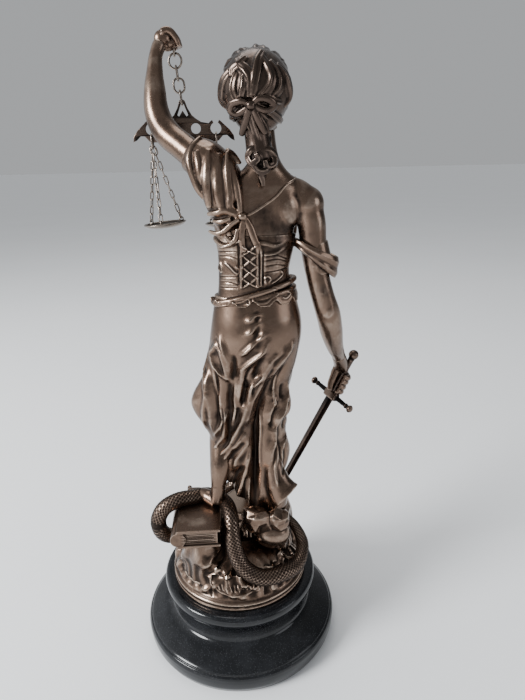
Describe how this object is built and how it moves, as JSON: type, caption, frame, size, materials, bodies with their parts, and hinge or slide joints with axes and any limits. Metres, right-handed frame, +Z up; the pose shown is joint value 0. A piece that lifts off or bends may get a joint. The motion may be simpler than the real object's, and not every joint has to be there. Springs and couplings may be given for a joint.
{
  "type": "lady justice statue",
  "caption": "Standing robed figure of justice, blindfolded, with a raised hand holding a hung balance, a lowered sword, and a book and snake underfoot, on a round turned plinth.",
  "frame": {"origin": "centre of the plinth's underside", "axes": "+Z up; the figure faces -Y and its raised left arm is on the +X side"},
  "size_m": [0.1605, 0.138, 0.4032],
  "materials": {
    "bronze": "aged dark bronze finish, satin, darker in the hollows",
    "chain_metal": "dull silvery bronze wire",
    "beam_metal": "dark brown patina, satin",
    "black_stone": "polished black with fine pale speckle"
  },
  "bodies": {
    "root": {"plinth": "black_stone", "figure": "bronze", "sword": "beam_metal", "hand_eye": "chain_metal", "hang_ring_1": "chain_metal", "hang_ring_2": "chain_metal", "hang_ring_3": "chain_metal", "hang_ring_4": "chain_metal", "beam": "beam_metal", "gather_link_left": "chain_metal", "gather_link_right": "chain_metal", "pan_left": "chain_metal", "pan_right": "chain_metal", "chain_left_1": "chain_metal", "chain_left_2": "chain_metal", "chain_left_3": "chain_metal", "chain_right_1": "chain_metal", "chain_right_2": "chain_metal", "chain_right_3": "chain_metal"}
  },
  "joints": []
}
